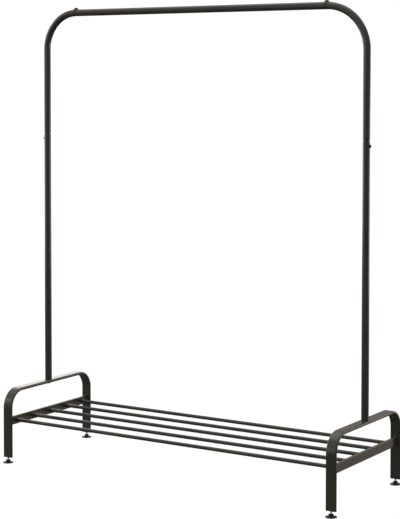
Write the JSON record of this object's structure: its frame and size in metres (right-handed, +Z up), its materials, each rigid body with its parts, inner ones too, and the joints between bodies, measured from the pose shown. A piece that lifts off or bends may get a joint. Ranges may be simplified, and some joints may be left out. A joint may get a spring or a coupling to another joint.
{
  "type": "garment rack",
  "caption": "Free-standing tubular steel rack: one hanging rail on two posts, inverted-U end frames joined by a low shelf of round bars, and screw-adjusted levelling feet.",
  "frame": {"origin": "on the floor, under the centre of the rack", "axes": "+Z up; +X along the hanging rail to the right; -Y is the front"},
  "size_m": [1.2356, 0.47, 1.5055],
  "materials": {
    "frame_paint": "satin powder coat, warm black",
    "washer_paint": "satin powder coat, warm black",
    "screw_black": "black oxide, semi-gloss",
    "zinc_steel": "zinc plated",
    "foot_stud_zinc": "zinc plated thread",
    "plug_plastic": "moulded black plastic",
    "foot_plastic": "moulded black plastic, fine grain"
  },
  "bodies": {
    "rack": {"top_rail": "frame_paint", "upper_post_left": "frame_paint", "upper_post_right": "frame_paint", "lower_post_left": "frame_paint", "lower_post_right": "frame_paint", "end_frame_left": "frame_paint", "end_frame_right": "frame_paint", "shelf_rail_left": "frame_paint", "shelf_rail_right": "frame_paint", "shelf_bar_1": "frame_paint", "shelf_bar_2": "frame_paint", "shelf_bar_3": "frame_paint", "shelf_bar_4": "frame_paint", "shelf_bar_5": "frame_paint", "rail_washer_left": "washer_paint", "rail_washer_right": "washer_paint", "post_screw_left": "screw_black", "post_screw_right": "screw_black", "rail_screw_left": "screw_black", "rail_screw_right": "screw_black", "post_nut_left": "zinc_steel", "post_nut_right": "zinc_steel", "rail_nut_left": "zinc_steel", "rail_nut_right": "zinc_steel", "post_insert_left": "zinc_steel", "post_insert_right": "zinc_steel", "base_washer_left": "zinc_steel", "base_washer_right": "zinc_steel", "base_bolt_left": "zinc_steel", "base_bolt_right": "zinc_steel", "leg_plug_front_left": "plug_plastic", "leg_plug_front_right": "plug_plastic", "leg_plug_back_left": "plug_plastic", "leg_plug_back_right": "plug_plastic"},
    "foot_front_left": {"foot_disc_front_left": "foot_plastic"},
    "stud_front_left": {"foot_stud_front_left": "foot_stud_zinc", "foot_hub_front_left": "foot_plastic"},
    "foot_front_right": {"foot_disc_front_right": "foot_plastic"},
    "stud_front_right": {"foot_stud_front_right": "foot_stud_zinc", "foot_hub_front_right": "foot_plastic"},
    "foot_back_left": {"foot_disc_back_left": "foot_plastic"},
    "stud_back_left": {"foot_stud_back_left": "foot_stud_zinc", "foot_hub_back_left": "foot_plastic"},
    "foot_back_right": {"foot_disc_back_right": "foot_plastic"},
    "stud_back_right": {"foot_stud_back_right": "foot_stud_zinc", "foot_hub_back_right": "foot_plastic"}
  },
  "joints": [
    {"name": "foot_travel_front_left", "type": "slide", "parent": "rack", "child": "foot_front_left", "axis": [0, 0, 1], "range_m": [-0.006, 0.004]},
    {"name": "stud_turn_front_left", "type": "hinge", "parent": "foot_front_left", "child": "stud_front_left", "pos_m": [-0.6, -0.217, 0], "axis": [0, 0, 1], "range_deg": [-2178, 1458]},
    {"name": "foot_travel_front_right", "type": "slide", "parent": "rack", "child": "foot_front_right", "axis": [0, 0, 1], "range_m": [-0.006, 0.004]},
    {"name": "stud_turn_front_right", "type": "hinge", "parent": "foot_front_right", "child": "stud_front_right", "pos_m": [0.6, -0.217, 0], "axis": [0, 0, 1], "range_deg": [-2178, 1458]},
    {"name": "foot_travel_back_left", "type": "slide", "parent": "rack", "child": "foot_back_left", "axis": [0, 0, 1], "range_m": [-0.006, 0.004]},
    {"name": "stud_turn_back_left", "type": "hinge", "parent": "foot_back_left", "child": "stud_back_left", "pos_m": [-0.6, 0.217, 0], "axis": [0, 0, 1], "range_deg": [-2178, 1458]},
    {"name": "foot_travel_back_right", "type": "slide", "parent": "rack", "child": "foot_back_right", "axis": [0, 0, 1], "range_m": [-0.006, 0.004]},
    {"name": "stud_turn_back_right", "type": "hinge", "parent": "foot_back_right", "child": "stud_back_right", "pos_m": [0.6, 0.217, 0], "axis": [0, 0, 1], "range_deg": [-2178, 1458]}
  ],
  "couplings": [
    {"joint": "stud_turn_front_left", "follows": "foot_travel_front_left", "rad_per_m": 6283.2},
    {"joint": "stud_turn_front_right", "follows": "foot_travel_front_right", "rad_per_m": 6283.2},
    {"joint": "stud_turn_back_left", "follows": "foot_travel_back_left", "rad_per_m": 6283.2},
    {"joint": "stud_turn_back_right", "follows": "foot_travel_back_right", "rad_per_m": 6283.2}
  ]
}
